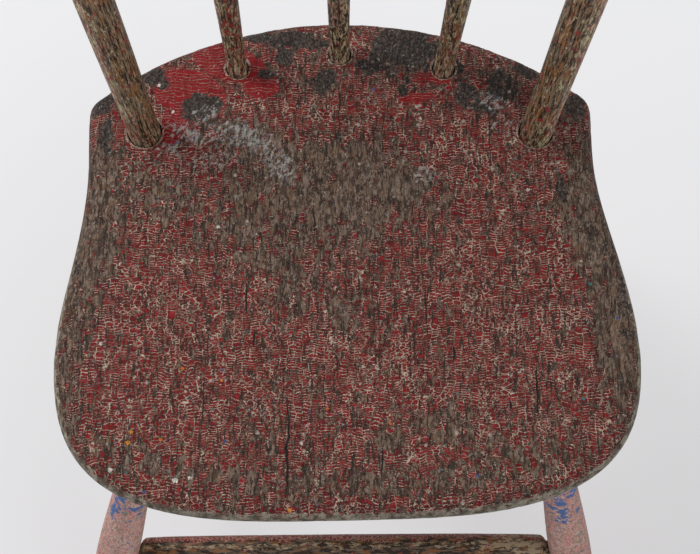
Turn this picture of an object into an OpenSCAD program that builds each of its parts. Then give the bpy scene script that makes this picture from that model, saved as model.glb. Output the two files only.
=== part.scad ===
// Plank-seat side chair with a rod back.
// A thick shaped plank is the heart of it. Two stout posts and three rods are driven into sockets
// in its top and carry a bent back rail. Four splayed legs are driven into its underside and are
// tied to each other by four stretchers. Everything is round, turned and pinned; nothing moves.
//
// Frame: millimetres, +Z up, the floor at Z = 0, the sitter faces -Y, +X is the chair's left-hand
// side as seen from the back and the right-hand side as seen from the front.

/* [Seat plank] */
// Width of the plank at its widest, near the front
seat_w = 437; // [400:1:480]
// Width of the plank across its rear corners
ear_w = 396; // [380:1:420]
// Width of the plank at the waist, just ahead of the rear corners
waist_w = 394; // [370:1:415]
// Depth of the plank, front edge to rear edge
seat_d = 407; // [370:1:450]
// Thickness of the plank
seat_t = 38; // [34:1:46]
// Height of the plank's top above the floor
seat_h = 430; // [390:1:480]
// Distance from the rear edge forward to the waist
waist_setback = 125; // [110:1:150]
// Distance from the front edge back to where the sides stop widening
wide_setback = 120; // [90:1:140]
// Distance from the front edge back to where the front corners begin
corner_setback = 149; // [110:1:170]
// Radius of the curved rear edge
rear_r = 305; // [270:1:360]
// Radius of the rounded rear corners
ear_r = 16; // [10:1:24]
// How square the front corners are: 2 is an ellipse, and more is squarer
front_squareness = 3.3; // [2.2:0.1:3.8]
// How far the hand-sawn front half swings towards +X
seat_skew = 3.6; // [0:0.2:8]
// How far the front edge runs out of square across the plank's width
front_lean = 6; // [0:0.5:12]
// How far the plank is turned out of square with its sockets, in degrees
seat_turn = 0.55; // [0:0.05:1.5]
// Depth of the hollow in the top
dish_depth = 8; // [0:1:12]
// Distance from the front edge back to the hollow's deepest place
dish_setback = 179; // [150:1:210]
// Distance from the front edge to the hollow
dish_front_gap = 22; // [15:1:40]
// Distance from the rear edge to the hollow
dish_rear_gap = 90; // [70:1:110]
// Distance from the widest places of the plank to the hollow
dish_side_gap = 31; // [20:1:50]
// Width of the bevel under the edge
bevel_w = 30; // [20:1:36]

/* [Back] */
// Distance between the posts, centre to centre, at the seat
post_span = 305; // [280:1:320]
// Distance from the rear edge forward to the posts
post_setback = 102; // [90:1:120]
// Diameter of a post at the seat
post_d = 25.4; // [22:0.2:28]
// Diameter of a post where it is fullest
post_belly_d = 28.4; // [26:0.2:32]
// Height above the seat at which a post is fullest
post_belly_h = 160; // [120:1:240]
// Diameter of a post at its tip
post_tip_d = 21; // [19:0.5:25]
// How far a post leans outward for each unit that it rises
post_flare = 0.138; // [0.08:0.002:0.18]
// How far a post leans back for each unit that it rises
post_rake = 0.19; // [0.12:0.01:0.24]
// Height of the post tips above the seat
back_h = 432; // [380:1:480]
// Diameter of a rod at the seat
rod_d = 16.4; // [14:0.2:18]
// Diameter of a rod where it is fullest
rod_belly_d = 20.2; // [17:0.2:22]
// Distance up a rod at which it is fullest
rod_belly_h = 140; // [90:1:200]
// Diameter of a rod where it enters the rail
rod_tip_d = 10; // [8:0.5:11]
// Distance from the rear edge forward to the rods
rod_inset = 33; // [26:1:40]
// Height of the back rail
rail_h = 64; // [50:1:80]
// Thickness of the back rail
rail_t = 14; // [12.5:0.5:16]
// How far the posts stand up past the rail
post_past = 14; // [8:1:30]
// How far the rail bows back between the posts
rail_bow = 51; // [35:1:60]

/* [Legs] */
// Distance between the front leg sockets
front_socket_span = 305; // [270:1:320]
// Distance from the front edge back to the front leg sockets
front_socket_y = 59; // [50:1:75]
// Distance between the rear leg sockets
rear_socket_span = 212; // [190:1:230]
// Distance from the rear edge forward to the rear leg sockets
rear_socket_y = 87; // [78:1:100]
// Sideways splay of the +X front leg
front_splay_right = 0.185; // [0.1:0.005:0.24]
// Sideways splay of the -X front leg
front_splay_left = 0.205; // [0.1:0.005:0.24]
// Forward splay of the front legs
front_rake = 0.15; // [0.08:0.01:0.22]
// Sideways splay of the rear legs
rear_splay = 0.2; // [0.1:0.01:0.26]
// Backward splay of the rear legs
rear_rake = 0.22; // [0.12:0.01:0.28]
// Diameter of a leg just under the seat
leg_neck_d = 25; // [22:0.5:28]
// Diameter of a leg where it is fullest
leg_belly_d = 36; // [32:0.5:42]
// Height above the floor at which a leg is fullest
leg_belly_z = 172; // [120:1:240]
// Diameter of a leg at the floor
leg_foot_d = 24; // [20:0.5:28]

/* [Stretchers] */
// Height of the front stretcher above the floor
front_stretcher_z = 188; // [170:1:230]
// How much higher the front stretcher's +X end is than its -X end
front_stretcher_rise = 8; // [0:0.5:12]
// Height of the rear stretcher above the floor
rear_stretcher_z = 206; // [180:1:240]
// Height of the side stretchers above the floor
side_stretcher_z = 154; // [120:1:160]
// Diameter of the front stretcher in the middle
front_stretcher_d = 28; // [24:0.5:32]
// Diameter of the front stretcher at its shoulders
front_shoulder_d = 25; // [20:0.5:26]
// Depth of the flat that feet have worn on the front stretcher
foot_wear = 2.6; // [0:0.2:5]
// Diameter of the side and rear stretchers in the middle
thin_stretcher_d = 22; // [18:0.5:26]
// Diameter of a stretcher's tenon
tenon_d = 15; // [12:0.5:17]

/* [Hidden] */

$fn = 64;
fit = 0.15;                 // radial clearance of every tenon in its socket
fine_fit = 0.05;            // radial clearance of a nail or a peg in its hole
cut = 200;                  // a length that is longer than anything it cuts

// Colours of the finishes
RED = [0.42, 0.16, 0.13];
WORN = [0.40, 0.29, 0.21];
PINK = [0.62, 0.46, 0.42];
BARE = [0.55, 0.44, 0.33];
IRON = [0.20, 0.16, 0.14];

// ---- Places on the plank -------------------------------------------------------------------
seat_rear_y = 193;                          // rear edge at the middle
seat_front_y = seat_rear_y - seat_d;        // front edge at the middle
post_y = seat_rear_y - post_setback;        // middle of the posts' sockets
rear_cy = seat_rear_y - rear_r;             // centre of the rear edge's curve
ear_cx = ear_w / 2 - ear_r;                 // centre of a rounded rear corner
ear_cy = rear_cy + sqrt(pow(rear_r - ear_r, 2) - pow(ear_cx, 2));
ear_turn = asin(ear_cx / (rear_r - ear_r)); // where the rear curve hands over to the corner
waist_y = seat_rear_y - waist_setback;      // narrowest place ahead of the rear corners
wide_y = seat_front_y + wide_setback;       // the sides stop widening
round_y = seat_front_y + corner_setback;    // the front corners start to round in
nose_z = 13;                                // the edge's foremost line below the top
crown_w = 30;                               // band along the edge where the top rolls down

function mix(a, b, t) = a + (b - a) * t;
function smooth(t) = let(u = max(0, min(1, t))) u * u * (3 - 2 * u);

// Half the plank's width at a place along the sides, before the front corners are rounded
function side_half(y) = y > waist_y
    ? mix(waist_w, ear_w, smooth((y - waist_y) / (ear_cy - waist_y))) / 2
    : mix(waist_w, seat_w, smooth((waist_y - y) / (waist_y - wide_y))) / 2;

// Sideways swing of the plank's middle line: none at the rear, all of it in the front half
function swing(y) = seat_skew * smooth((waist_y + 22 - y) / 120);

// Forward or backward lean of the front edge
function lean(x, y) = x * front_lean / seat_w * smooth((round_y - y) / (round_y - seat_front_y));

// A place on the plank as it was sawn: swung, and turned about the middle of the posts
function sawn(p) = let(x = p.x + swing(p.y), y = p.y + lean(p.x, p.y) - post_y)
    [x * cos(seat_turn) - y * sin(seat_turn), post_y + x * sin(seat_turn) + y * cos(seat_turn)];

// The +X half of the outline, from the middle of the rear edge to the middle of the front edge
rear_steps = 13;
ear_steps = 5;
side_steps = 16;
front_steps = 26;
half_outline = [
    for (i = [0:rear_steps]) let(a = ear_turn * i / rear_steps)
        [rear_r * sin(a), rear_cy + rear_r * cos(a)],
    for (i = [1:ear_steps]) let(a = mix(ear_turn, 90, i / ear_steps))
        [ear_cx + ear_r * sin(a), ear_cy + ear_r * cos(a)],
    for (i = [1:side_steps]) let(y = mix(ear_cy, round_y, i / side_steps))
        [side_half(y), y],
    for (i = [1:front_steps]) let(
            a = 90 * i / front_steps,
            y = mix(round_y, seat_front_y, pow(sin(a), 2 / front_squareness)))
        [side_half(y) * pow(cos(a), 2 / front_squareness), y]
];
half_n = len(half_outline);
outline = [
    for (p = half_outline) sawn(p),
    for (i = [half_n - 2:-1:1]) let(p = half_outline[i]) sawn([-p.x, p.y])
];
outline_n = len(outline);

// The hollow in the top: deepest under the sitter, gone before the edge and before the rods
dish_y = seat_front_y + dish_setback;
plank_middle = sawn([0, dish_y]);
dish_half_w = seat_w / 2 - dish_side_gap;
dish_front = dish_setback - dish_front_gap;
dish_rear = seat_rear_y - dish_rear_gap - dish_y;
function dish(x, y) = let(
        along = (y - dish_y) / (y < dish_y ? dish_front : dish_rear),
        r = sqrt(pow(x / dish_half_w, 2) + pow(along, 2)))
    dish_depth * smooth(1.15 * (1 - r));

// The edge from the underside round to the top: [distance in from the outline, height]
edge_section = [
    [bevel_w, -seat_t], [0.62 * bevel_w, -seat_t + 4], [0.3 * bevel_w, -seat_t + 8.5],
    [3, -nose_z - 8.5], [0.6, -nose_z - 4], [0, -nose_z], [0.8, -nose_z + 4],
    [3, -nose_z + 8], [7, -2.6], [13, -1.2], [21, -0.4], [crown_w, 0]
];
inner_shares = [0.1, 0.22, 0.35, 0.5, 0.66, 0.82];  // rings between the crown and the middle

// Every ring is the outline drawn in towards the plank's middle, so that none crosses itself
// inside the tight rear corners
function inward(i) = (plank_middle - outline[i]) / norm(plank_middle - outline[i]);
crown_ring = [for (i = [0:outline_n - 1]) outline[i] + crown_w * inward(i)];

function edge_ring(s) = [
    for (i = [0:outline_n - 1]) let(p = outline[i] + s[0] * inward(i))
        [p.x, p.y, seat_h + s[1] - (s[1] == 0 ? dish(p.x, p.y) : 0)]
];
function inner_ring(share) = [
    for (c = crown_ring) let(p = mix(c, plank_middle, share))
        [p.x, p.y, seat_h - dish(p.x, p.y)]
];
rings = concat([for (s = edge_section) edge_ring(s)], [for (k = inner_shares) inner_ring(k)]);
ring_n = len(rings);

// A closed skin over a stack of rings, with a point in the middle of its bottom and its top
module skin(rings, count, bottom, top) {
    last = (len(rings) - 1) * count;
    ends = len(rings) * count;
    points = concat([for (r = rings) each r], [bottom, top]);
    faces = concat(
        [for (i = [0:count - 1]) [ends, (i + 1) % count, i]],
        [for (k = [0:len(rings) - 2]) for (i = [0:count - 1])
            let(a = k * count + i, b = k * count + (i + 1) % count) each
            [[a, b, b + count], [a, b + count, a + count]]],
        [for (i = [0:count - 1]) [last + i, last + (i + 1) % count, ends + 1]]);
    polyhedron(points, faces, convexity = 6);
}

// ---- Axes of the round pieces -------------------------------------------------------------
// Each side is -1 for the -X side and 1 for the +X side.
function post_at(side, h) =
    [side * (post_span / 2 + post_flare * h), post_y + post_rake * h, seat_h + h];
post_sole = -seat_t - 1.5;                      // the tenon's end, just proud of the underside

rail_mid = back_h - post_past - rail_h / 2;     // middle of the rail above the seat
rail_post = post_at(1, rail_mid);
rail_half = rail_post.x;
rail_r = pow(rail_half, 2) / (2 * rail_bow) + rail_bow / 2;
rail_cy = rail_post.y + rail_bow - rail_r;      // centre of the rail's bend
rail_tilt = atan(post_rake);

rod_seat_x = [-81.5, -0.5, 82];                 // hand-spaced at the seat
rod_rail_x = [-100, -5, 112];                   // and at the rail
rod_socket_depth = 24;
rod_grip = 20;                                  // length of a rod inside the rail
rod_top_h = rail_mid - rail_h / 2 + rod_grip;
function rod_seat(i) = let(r = rear_r - rod_inset)
    [rod_seat_x[i], rear_cy + sqrt(r * r - pow(rod_seat_x[i], 2)), seat_h];
// The rail leans with the posts, so its middle surface is met a little lower and further forward
function rod_rail(i) = let(x = rod_rail_x[i], drop = rail_mid - rod_top_h)
    [x, rail_cy + sqrt(rail_r * rail_r - x * x) - drop * post_rake, seat_h + rod_top_h];
function unit(v) = v / norm(v);
function rod_axis(i) = unit(rod_rail(i) - rod_seat(i));

front_leg_y = seat_front_y + front_socket_y;
rear_leg_y = seat_rear_y - rear_socket_y;
under_z = seat_h - seat_t;
leg_socket_depth = 27;
// [socket x, socket y, sideways splay, rearward splay] of each leg
LEGS = [
    [-front_socket_span / 2 + 4.5, front_leg_y, -front_splay_left, -front_rake],
    [front_socket_span / 2 + 6, front_leg_y, front_splay_right, -front_rake],
    [-rear_socket_span / 2, rear_leg_y, -rear_splay, rear_rake],
    [rear_socket_span / 2, rear_leg_y, rear_splay, rear_rake]
];
function leg_at(leg, z) = let(drop = under_z - z)
    [leg[0] + leg[2] * drop, leg[1] + leg[3] * drop, z];

// Radius of a leg at a height
function leg_r(z) = z > leg_belly_z
    ? mix(leg_belly_d, leg_neck_d, pow(smooth((z - leg_belly_z) / (under_z - leg_belly_z)), 1.15)) / 2
    : mix(leg_belly_d, leg_foot_d, smooth((leg_belly_z - z) / leg_belly_z)) / 2;

// ---- Tools ------------------------------------------------------------------------------
// Stands its children, drawn up the Z axis, on the line from one point towards another
module along(from, to) {
    v = unit(to - from);
    translate(from) rotate([0, acos(v.z), atan2(v.y, v.x)]) children();
}

// A round piece turned to a list of [height along the axis, radius]. A part turn about its own
// axis keeps its seam away from the level cuts and from the corners of the plank's facets.
module turned(profile) {
    rotate([0, 0, 17]) rotate_extrude()
        polygon(concat([[0, profile[0][0]]], [for (p = profile) [p[1], p[0]]],
                       [[0, profile[len(profile) - 1][0]]]));
}

// ---- Seat plank -------------------------------------------------------------------------
module plank_body() {
    skin(rings, outline_n, [plank_middle.x, plank_middle.y, seat_h - seat_t],
         [plank_middle.x, plank_middle.y, seat_h - dish(plank_middle.x, plank_middle.y)]);
}

module seat_plank() {
    color(RED) difference() {
        plank_body();
        for (side = [-1, 1]) {
            post_socket(side);
            post_nail_hole(side);
        }
        for (i = [0:2]) rod_socket(i);
        for (leg = LEGS) leg_socket(leg);
    }
}

// ---- Posts --------------------------------------------------------------------------------
post_len = norm(post_at(1, back_h) - post_at(1, post_sole));
post_seat_at = norm(post_at(1, 0) - post_at(1, post_sole)); // along the post, to the seat's top
post_neck = 10;                                             // straight stretch above the seat
post_belly_at = norm(post_at(1, post_belly_h) - post_at(1, post_sole));
post_sole_d = 19;                                           // the tapered tenon's small end
post_tip_round = 5;

function post_r(s) = s < post_belly_at
    ? mix(post_d, post_belly_d, smooth((s - post_seat_at - post_neck)
          / (post_belly_at - post_seat_at - post_neck))) / 2
    : mix(post_belly_d, post_tip_d, smooth((s - post_belly_at) / (post_len - post_belly_at))) / 2;

post_steps = 22;
post_profile = [
    [0, post_sole_d / 2], [post_seat_at, post_d / 2], [post_seat_at + post_neck, post_d / 2],
    for (i = [1:post_steps]) let(
            s = mix(post_seat_at + post_neck, post_len - post_tip_round, i / post_steps))
        [s, post_r(s)],
    for (a = [18:18:72])
        [post_len - post_tip_round * (1 - sin(a)), post_tip_d / 2 - post_tip_round * (1 - cos(a))],
    [post_len, post_tip_d / 2 - post_tip_round]
];

// The reamed hole tapers as the tenon does and runs on past both faces of the plank
module post_socket(side) {
    taper = (post_d - post_sole_d) / 2 / post_seat_at;
    run = 12;
    along(post_at(side, post_sole), post_at(side, back_h))
        turned([[-run, post_sole_d / 2 - taper * run + fit], [post_seat_at, post_d / 2 + fit],
                [post_seat_at + run, post_d / 2 + fit]]);
}

module post(side) {
    color(WORN) difference() {
        along(post_at(side, post_sole), post_at(side, back_h)) turned(post_profile);
        rail_blank(fit);
        post_wedge_shape(side);
        post_nail_hole(side);
        rail_peg_hole(side);
    }
}

// ---- Wedges in the posts' tenons -----------------------------------------------------------
wedge_depth = 15;
wedge_t = 3;
wedge_w = 15;

// A thin wooden wedge, driven up into the tenon's end across the plank's grain
module post_wedge_shape(side) {
    along(post_at(side, post_sole), post_at(side, back_h))
        rotate([90, 0, 0])
            translate([0, 0, -wedge_w / 2]) linear_extrude(wedge_w)
                polygon([[-wedge_t / 2, -0.01], [wedge_t / 2, -0.01], [0.3, wedge_depth],
                         [-0.3, wedge_depth]]);
}

module post_wedge(side) {
    color(BARE) post_wedge_shape(side);
}

// ---- Nails through the feet of the posts ------------------------------------------------------
nail_h = 12;                                // height of the head above the seat
nail_len = 44;
nail_d = 2.6;
nail_head_d = 5.6;
nail_head_t = 1.6;
nail_start = 0.4;                           // the head stands this far proud of the post
function nail_head(side) = post_at(side, nail_h) + [0, -post_d / 2 - nail_start, 0];
function nail_tip(side) = nail_head(side) + nail_len * unit([0, 1, -1]);

module post_nail_hole(side) {
    head_r = nail_head_d / 2 + fine_fit;
    shank_r = nail_d / 2 + fine_fit;
    seat = nail_head_t + fine_fit;
    along(nail_head(side), nail_tip(side))
        turned([[-20, head_r], [seat, head_r], [seat, shank_r], [nail_len + fine_fit, shank_r]]);
}

module post_nail(side) {
    color(IRON) along(nail_head(side), nail_tip(side)) {
        cylinder(d = nail_head_d, h = nail_head_t);
        cylinder(d = nail_d, h = nail_len - 6);
        translate([0, 0, nail_len - 6]) cylinder(d1 = nail_d, d2 = 0.8, h = 6);
    }
}

// ---- Rods ---------------------------------------------------------------------------------
rod_steps = 18;
function rod_len(i) = norm(rod_rail(i) - rod_seat(i));
rod_straight = 9;                           // the rod keeps one size just above the seat
rod_entry = 7;                              // and just below the rail

function rod_profile(i) = let(
        total = rod_len(i), top = total - rod_grip - rod_entry)
    [
        [-rod_socket_depth + 1, rod_d / 2], [rod_straight, rod_d / 2],
        for (k = [1:rod_steps]) let(s = mix(rod_straight, top, k / rod_steps))
            [s, (s < rod_belly_h
                 ? mix(rod_d, rod_belly_d, smooth((s - rod_straight) / (rod_belly_h - rod_straight)))
                 : mix(rod_belly_d, rod_tip_d, smooth((s - rod_belly_h) / (top - rod_belly_h)))) / 2],
        [total, rod_tip_d / 2]
    ];

module rod_socket(i) {
    along(rod_seat(i), rod_rail(i))
        translate([0, 0, -rod_socket_depth]) cylinder(d = rod_d + 2 * fit, h = rod_socket_depth + 12);
}

module rod_tip_socket(i) {
    total = rod_len(i);
    along(rod_seat(i), rod_rail(i))
        translate([0, 0, total - rod_grip - 10]) cylinder(d = rod_tip_d + 2 * fit, h = rod_grip + 11);
}

module rod(i) {
    color(WORN) along(rod_seat(i), rod_rail(i)) turned(rod_profile(i));
}

// ---- Back rail ------------------------------------------------------------------------------
rail_top_drop = 7;                          // the top edge is this much lower at the posts
rail_end_in = 7.5;                          // the rail's ends lie this far inside the posts' skin
rail_post_r = post_r(post_len - post_past - rail_h / 2);
rail_end_x = rail_half - rail_post_r + rail_end_in;

// The bent board, grown all round by a clearance. It leans with the posts.
module rail_blank(grow) {
    half_angle = asin((rail_end_x + grow) / rail_r);
    top = rail_h / 2 + grow;
    translate([0, rail_cy + rail_r, seat_h + rail_mid]) rotate([-rail_tilt, 0, 0])
        translate([0, -rail_r, 0]) intersection() {
            rotate([0, 0, 90 - half_angle]) rotate_extrude(angle = 2 * half_angle)
                translate([rail_r - rail_t / 2 - grow, -rail_h / 2 - grow])
                    square([rail_t + 2 * grow, rail_h + 2 * grow]);
            rotate([90, 0, 180]) linear_extrude(2 * rail_r) polygon(concat(
                [for (i = [-10:10]) [i / 10 * rail_half, top - rail_top_drop * pow(i / 10, 2)]],
                [[rail_half, -rail_h], [-rail_half, -rail_h]]));
        }
}

module back_rail() {
    color(RED) difference() {
        rail_blank(0);
        for (i = [0:2]) rod_tip_socket(i);
        for (side = [-1, 1]) rail_peg_hole(side);
    }
}

// ---- Pegs that pin the rail in the posts ------------------------------------------------------
peg_d = 5;
peg_len = 21;
peg_side_in = 4.2;                          // the pegs stand this far towards the middle
function peg_centre(side) = post_at(side, rail_mid) - [side * peg_side_in, 0, 0];
function peg_end(side, s) = peg_centre(side) + s * peg_len / 2 * unit([0, 1, -post_rake]);

module rail_peg_hole(side) {
    along(peg_end(side, -1), peg_end(side, 1))
        translate([0, 0, -4]) cylinder(d = peg_d + 2 * fine_fit, h = peg_len + 8);
}

module rail_peg(side) {
    color(BARE) along(peg_end(side, -1), peg_end(side, 1)) cylinder(d = peg_d, h = peg_len);
}

// ---- Legs -----------------------------------------------------------------------------------
leg_steps = 26;
leg_taper = 2;                              // the tenon's loss of radius over its depth
leg_collar = 6;                             // the leg keeps one size just under the seat

function leg_stretch(leg) = norm(leg_at(leg, 0) - leg_at(leg, 1)); // length per unit of height

// Drawn from just under the floor, where the sole is cut level, up to the end of the tenon
function leg_profile(leg) = let(k = leg_stretch(leg), run_out = 14) [
    [-run_out, leg_foot_d / 2],
    for (i = [1:leg_steps]) let(z = mix(0, under_z - leg_collar, i / leg_steps)) [z * k, leg_r(z)],
    [under_z * k, leg_neck_d / 2],
    [under_z * k + leg_socket_depth - 1,
     leg_neck_d / 2 - leg_taper * (leg_socket_depth - 1) / leg_socket_depth]
];

module leg_socket(leg) {
    run = 12;
    k = leg_stretch(leg);
    mouth_r = leg_neck_d / 2 + fit;
    along(leg_at(leg, 0), leg_at(leg, under_z)) translate([0, 0, under_z * k])
        turned([[-run, mouth_r], [0, mouth_r], [leg_socket_depth, mouth_r - leg_taper]]);
}

module leg(index) {
    this = LEGS[index];
    color(PINK) difference() {
        along(leg_at(this, 0), leg_at(this, under_z)) turned(leg_profile(this));
        translate([this[0], this[1], -cut / 2]) cube([3 * cut, 3 * cut, cut], center = true);
        for (s = STRETCHERS) if (s[0] == index || s[1] == index) stretcher_mortise(s, index);
    }
}

// ---- Stretchers -------------------------------------------------------------------------------
// [leg at one end, leg at the other, height at each end, middle diameter, shoulder diameter]
front_z = [front_stretcher_z - front_stretcher_rise / 2, front_stretcher_z + front_stretcher_rise / 2];
rear_z = [rear_stretcher_z, rear_stretcher_z];
side_z = [side_stretcher_z, side_stretcher_z];
STRETCHERS = [
    [0, 1, front_z, front_stretcher_d, front_shoulder_d],
    [2, 3, rear_z, thin_stretcher_d, tenon_d],
    [0, 2, side_z, thin_stretcher_d, tenon_d],
    [1, 3, side_z, thin_stretcher_d, tenon_d]
];
tenon_past = 4;                             // a tenon ends this far past the leg's axis
shoulder_gap = 3.2;                         // a shoulder stands this far off the leg's skin
shoulder_round = 5;
stretcher_steps = 20;

function stretcher_leg(s, end) = leg_at(LEGS[s[end]], s[2][end]);
function stretcher_span(s) = norm(stretcher_leg(s, 1) - stretcher_leg(s, 0));

// Drawn from the first leg's axis towards the second
function stretcher_profile(s) = let(
        span = stretcher_span(s), first = leg_r(s[2][0]) + shoulder_gap, last = span - first)
    [
        [-tenon_past, tenon_d / 2], [first, tenon_d / 2],
        for (a = [0:30:90]) if (s[4] > tenon_d)
            [first + shoulder_round * (1 - cos(a)), tenon_d / 2 + (s[4] - tenon_d) / 2 * sin(a)],
        for (i = [1:stretcher_steps - 1]) let(
                at = mix(first + shoulder_round, last - shoulder_round, i / stretcher_steps))
            [at, mix(s[4], s[3], sqrt(sin(180 * i / stretcher_steps))) / 2],
        for (a = [90:-30:0]) if (s[4] > tenon_d)
            [last - shoulder_round * (1 - cos(a)), tenon_d / 2 + (s[4] - tenon_d) / 2 * sin(a)],
        [last, tenon_d / 2], [span + tenon_past, tenon_d / 2]
    ];

module stretcher_mortise(s, index) {
    near = s[0] == index ? 0 : 1;
    along(stretcher_leg(s, near), stretcher_leg(s, 1 - near))
        translate([0, 0, -tenon_past - 0.5]) cylinder(d = tenon_d + 2 * fit, h = cut / 4);
}

module stretcher(index) {
    s = STRETCHERS[index];
    color(index == 0 ? WORN : PINK)
        along(stretcher_leg(s, 0), stretcher_leg(s, 1)) turned(stretcher_profile(s));
}

// Feet have worn a long shallow flat on the upper front of the front stretcher
module stretcher_front() {
    wear_angle = 52;                        // the flat faces up and forward
    wear_r = 3000;                          // and is very slightly hollow along its length
    s = STRETCHERS[0];
    middle = (stretcher_leg(s, 0) + stretcher_leg(s, 1)) / 2;
    difference() {
        stretcher(0);
        if (foot_wear > 0)
            color(WORN) translate(middle) rotate([90 - wear_angle, 0, 0])
                translate([0, 0, front_stretcher_d / 2 - foot_wear + wear_r])
                    rotate([90, 0, 0]) cylinder(r = wear_r, h = cut / 2, center = true, $fn = 720);
    }
}

// ---- The chair --------------------------------------------------------------------------------
seat_plank();
post(-1);  // post_left
post(1);  // post_right
rod(0);  // rod_left
rod(1);  // rod_middle
rod(2);  // rod_right
back_rail();
leg(0);  // leg_front_left
leg(1);  // leg_front_right
leg(2);  // leg_rear_left
leg(3);  // leg_rear_right
stretcher_front();
stretcher(1);  // stretcher_rear
stretcher(2);  // stretcher_left
stretcher(3);  // stretcher_right
post_wedge(-1);  // post_wedge_left
post_wedge(1);  // post_wedge_right
post_nail(-1);  // post_nail_left
post_nail(1);  // post_nail_right
rail_peg(-1);  // rail_peg_left
rail_peg(1);  // rail_peg_right
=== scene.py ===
import math

import bmesh
import bpy
import numpy as np
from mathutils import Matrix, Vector
from mathutils.bvhtree import BVHTree


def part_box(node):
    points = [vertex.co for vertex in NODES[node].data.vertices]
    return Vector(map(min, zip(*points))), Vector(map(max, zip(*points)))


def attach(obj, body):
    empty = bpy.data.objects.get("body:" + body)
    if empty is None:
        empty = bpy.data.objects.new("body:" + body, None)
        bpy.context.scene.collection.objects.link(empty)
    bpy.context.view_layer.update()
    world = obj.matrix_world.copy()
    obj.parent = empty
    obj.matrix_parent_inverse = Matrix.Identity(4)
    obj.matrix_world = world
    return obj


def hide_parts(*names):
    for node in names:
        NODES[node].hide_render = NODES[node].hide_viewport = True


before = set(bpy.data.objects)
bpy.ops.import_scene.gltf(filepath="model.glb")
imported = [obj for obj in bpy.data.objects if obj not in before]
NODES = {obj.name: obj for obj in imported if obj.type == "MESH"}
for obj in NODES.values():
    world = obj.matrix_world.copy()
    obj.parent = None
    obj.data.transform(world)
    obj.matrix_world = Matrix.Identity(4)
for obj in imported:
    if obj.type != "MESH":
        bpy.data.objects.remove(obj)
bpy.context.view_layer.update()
MM = 0.001
SEAT_LOW, SEAT_HIGH = (np.array(corner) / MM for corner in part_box("seat_plank"))
SEAT_TOP = SEAT_HIGH[2]


# ---- Noise for shaping ----

def scatter(cell, seed):
    """An even random number from 0 to 1 for each whole-numbered cell."""
    cell = cell.astype(np.int64)
    mixed = cell[:, 0] * 73856093 ^ cell[:, 1] * 19349663 ^ cell[:, 2] * 83492791
    mixed = (mixed + seed * 97531) & 0xFFFFFFFF
    mixed = ((mixed ^ (mixed >> 15)) * 2246822519) & 0xFFFFFFFF
    mixed = ((mixed ^ (mixed >> 13)) * 3266489917) & 0xFFFFFFFF
    return ((mixed ^ (mixed >> 16)) & 0xFFFFFF) / float(0xFFFFFF)


def wander(points, size, seed=0, octaves=3):
    """Smooth noise from -1 to 1. Its swells are about as big as size, in millimetres."""
    total = np.zeros(len(points))
    share = 1.0
    whole = 0.0
    for octave in range(octaves):
        spot = points / np.asarray(size, float) * 2 ** octave
        low = np.floor(spot)
        part = spot - low
        part = part * part * (3 - 2 * part)
        value = np.zeros(len(points))
        for corner in range(8):
            step = np.array([corner & 1, (corner >> 1) & 1, corner >> 2])
            weight = np.where(step == 1, part, 1 - part).prod(axis=1)
            value += weight * scatter(low + step, seed + 17 * octave)
        total += share * (2 * value - 1)
        whole += share
        share *= 0.5
    return total / whole


def ease(value, low, high):
    """0 below low, 1 above high, and a smooth rise between."""
    part = np.clip((value - low) / (high - low), 0, 1)
    return part * part * (3 - 2 * part)


def patches(across, along, spots):
    """The strongest of some soft oval spots: (across, along, half width, half length, turn, strength)."""
    strongest = np.zeros(len(across))
    for middle_x, middle_y, half_x, half_y, turn, strength in spots:
        cos_turn = math.cos(math.radians(turn))
        sin_turn = math.sin(math.radians(turn))
        x = ((across - middle_x) * cos_turn + (along - middle_y) * sin_turn) / half_x
        y = ((along - middle_y) * cos_turn - (across - middle_x) * sin_turn) / half_y
        strongest = np.maximum(strongest, strength * (1 - ease(np.hypot(x, y), 0.45, 1.35)))
    return strongest


# ---- Meshes ----

# Millimetres: the squares of the remeshed pieces, and how far the seat stays inside its CAD box
SEAT_SQUARES = 2.05
RAIL_SQUARES = 1.9
WEDGE_SQUARES = 0.5
SEAT_MARGIN = 0.05


def new_piece(name, points, faces, node, material):
    """A smooth piece from points in millimetres, which stands for a CAD node."""
    mesh = bpy.data.meshes.new(name)
    mesh.from_pydata((np.asarray(points) * MM).tolist(), [], faces)
    mesh.polygons.foreach_set("use_smooth", [True] * len(mesh.polygons))
    mesh.materials.append(material)
    mesh.update()
    piece = bpy.data.objects.new(name, mesh)
    bpy.context.scene.collection.objects.link(piece)
    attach(piece, "root")
    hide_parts(node)
    return piece


def keep_number(piece, name, values):
    """Stores one number for each point, for the piece's material."""
    attribute = piece.data.attributes.new(name, "FLOAT", "POINT")
    count = len(piece.data.vertices)
    even = np.broadcast_to(np.asarray(values, np.float32), count)
    attribute.data.foreach_set("value", np.ascontiguousarray(even))


def keep_place(piece, places):
    """Stores where each point lies in the wood, in millimetres: the third number runs along the grain."""
    attribute = piece.data.attributes.new("wood_place", "FLOAT_VECTOR", "POINT")
    attribute.data.foreach_set("vector", np.asarray(places, np.float32).ravel())


def points_of(mesh):
    """A mesh's points in millimetres."""
    points = np.zeros(len(mesh.vertices) * 3)
    mesh.vertices.foreach_get("co", points)
    return points.reshape(-1, 3) / MM


def faces_of(mesh):
    """Each face's corner points."""
    return [tuple(face.vertices) for face in mesh.polygons]


def mesh_arrays(mesh):
    """Points in millimetres, normals and edges of a mesh."""
    normals = np.zeros(len(mesh.vertices) * 3)
    edges = np.zeros(len(mesh.edges) * 2, int)
    mesh.vertex_normals.foreach_get("vector", normals)
    mesh.edges.foreach_get("vertices", edges)
    return points_of(mesh), normals.reshape(-1, 3), edges.reshape(-1, 2)


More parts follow.
